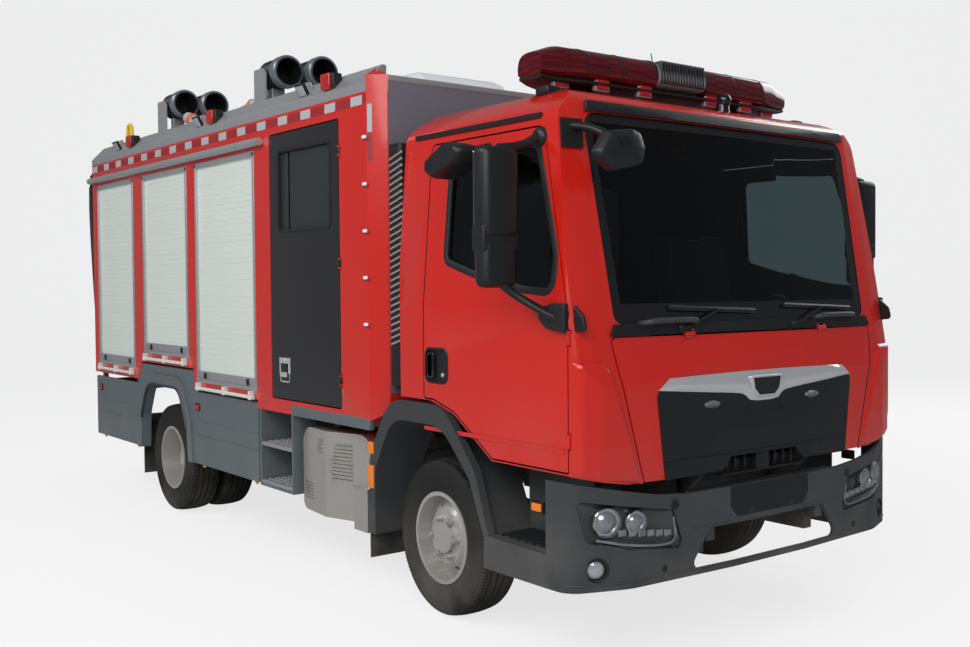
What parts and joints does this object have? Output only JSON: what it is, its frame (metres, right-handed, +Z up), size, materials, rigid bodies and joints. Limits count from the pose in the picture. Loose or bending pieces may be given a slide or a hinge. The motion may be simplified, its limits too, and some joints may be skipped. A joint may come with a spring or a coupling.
{
  "type": "foam fire truck",
  "caption": "Forward-control foam fire truck with a tilting cab, crew cabin, roller-shutter rescue body and roof gear; it steers, rolls and its doors open.",
  "frame": {"origin": "on the road under the middle of the truck's length and width", "axes": "+X forward, +Y to the vehicle's left, +Z up"},
  "size_m": [6.7229, 2.8, 3.155],
  "materials": {
    "red_paint": "gloss",
    "chassis_black": "satin",
    "spring_steel": "matte",
    "cast_iron": "matte",
    "tank_metal": "satin",
    "stainless": "brushed",
    "bumper_plastic": "grained",
    "lamp_clear": "clear",
    "flap_rubber": "matte",
    "shutter_alu": "anodised",
    "rail_alu": "satin",
    "skirt_grey": "satin",
    "seat_cloth": "woven",
    "white_shell": "gloss",
    "ladder_dark": "satin",
    "duct_black": "ribbed",
    "hose_grey": "woven cover",
    "lamp_housing": "matte",
    "black_plastic": "satin",
    "glass": "clear",
    "glass_dark": "tinted",
    "dash_plastic": "grained",
    "red_lens": "clear lens",
    "black_door": "satin",
    "tyre": "matte",
    "rim_steel": "satin"
  },
  "bodies": {
    "root": {"chassis_frame": "chassis_black", "leaf_springs": "spring_steel", "front_axle": "spring_steel", "rear_axle": "spring_steel", "engine": "cast_iron", "fuel_tank": "tank_metal", "silencer": "stainless", "front_bumper": "bumper_plastic", "front_lamps": "lamp_clear", "front_wings": "bumper_plastic", "mud_flaps": "flap_rubber", "rear_bumper": "chassis_black", "crew_cabin": "red_paint", "locker_body": "red_paint", "roller_shutters": "shutter_alu", "roof_rails": "rail_alu", "lower_skirts": "skirt_grey", "crew_bench": "seat_cloth", "roof_unit": "white_shell", "rear_ladder": "ladder_dark", "roof_ducts": "duct_black", "roof_hose": "hose_grey", "body_lamps": "lamp_housing", "air_intake": "black_plastic"},
    "cab": {"cab_shell": "red_paint", "windscreen": "glass", "dashboard": "dash_plastic", "cab_seats": "seat_cloth", "light_bar": "red_lens", "cab_trim": "black_plastic"},
    "lid": {"front_lid": "red_paint", "grille": "black_plastic"},
    "cab_door_right": {"door_right": "red_paint", "door_glass_right": "glass", "mirror_right": "black_plastic"},
    "cab_door_left": {"door_left": "red_paint", "door_glass_left": "glass", "mirror_left": "black_plastic"},
    "crew_door_r": {"crew_door_right": "black_door", "crew_glass_right": "glass_dark"},
    "crew_door_l": {"crew_door_left": "black_door", "crew_glass_left": "glass_dark"},
    "steer_right": {"knuckle_right": "cast_iron"},
    "steer_left": {"knuckle_left": "cast_iron"},
    "wheel_front_right": {"front_tyre_right": "tyre", "front_rim_right": "rim_steel"},
    "wheel_front_left": {"front_tyre_left": "tyre", "front_rim_left": "rim_steel"},
    "wheel_rear_right": {"rear_tyres_right": "tyre", "rear_rims_right": "rim_steel"},
    "wheel_rear_left": {"rear_tyres_left": "tyre", "rear_rims_left": "rim_steel"}
  },
  "joints": [
    {"name": "cab_tilt", "type": "hinge", "parent": "root", "child": "cab", "pos_m": [3.2865, 0, 0.832], "axis": [0, 1, 0], "range_deg": [0, 50]},
    {"name": "lid_open", "type": "hinge", "parent": "cab", "child": "lid", "pos_m": [3.2915, 0, 1.452], "axis": [0, -1, 0], "range_deg": [0, 70]},
    {"name": "door_right_open", "type": "hinge", "parent": "cab", "child": "cab_door_right", "pos_m": [3.2025, -1.12, 1.2], "axis": [0, 0, 1], "range_deg": [0, 70]},
    {"name": "door_left_open", "type": "hinge", "parent": "cab", "child": "cab_door_left", "pos_m": [3.2025, 1.12, 1.2], "axis": [0, 0, -1], "range_deg": [0, 70]},
    {"name": "crew_right_open", "type": "hinge", "parent": "root", "child": "crew_door_r", "pos_m": [1.2555, -1.15, 1.8], "axis": [0, 0, 1], "range_deg": [0, 88]},
    {"name": "crew_left_open", "type": "hinge", "parent": "root", "child": "crew_door_l", "pos_m": [1.2555, 1.15, 1.8], "axis": [0, 0, -1], "range_deg": [0, 88]},
    {"name": "steer_right_turn", "type": "hinge", "parent": "root", "child": "steer_right", "pos_m": [2.0865, -0.79, 0.3985], "axis": [0, 0, 1], "range_deg": [-38, 38]},
    {"name": "steer_left_turn", "type": "hinge", "parent": "root", "child": "steer_left", "pos_m": [2.0865, 0.79, 0.3985], "axis": [0, 0, 1], "range_deg": [-38, 38]},
    {"name": "front_right_spin", "type": "hinge", "parent": "steer_right", "child": "wheel_front_right", "pos_m": [2.0865, -0.94, 0.3985], "axis": [0, 1, 0], "continuous": true},
    {"name": "front_left_spin", "type": "hinge", "parent": "steer_left", "child": "wheel_front_left", "pos_m": [2.0865, 0.94, 0.3985], "axis": [0, 1, 0], "continuous": true},
    {"name": "rear_right_spin", "type": "hinge", "parent": "root", "child": "wheel_rear_right", "pos_m": [-1.5135, -0.85, 0.3985], "axis": [0, 1, 0], "continuous": true},
    {"name": "rear_left_spin", "type": "hinge", "parent": "root", "child": "wheel_rear_left", "pos_m": [-1.5135, 0.85, 0.3985], "axis": [0, 1, 0], "continuous": true}
  ],
  "couplings": [
    {"joint": "steer_left_turn", "follows": "steer_right_turn", "ratio": 1}
  ]
}
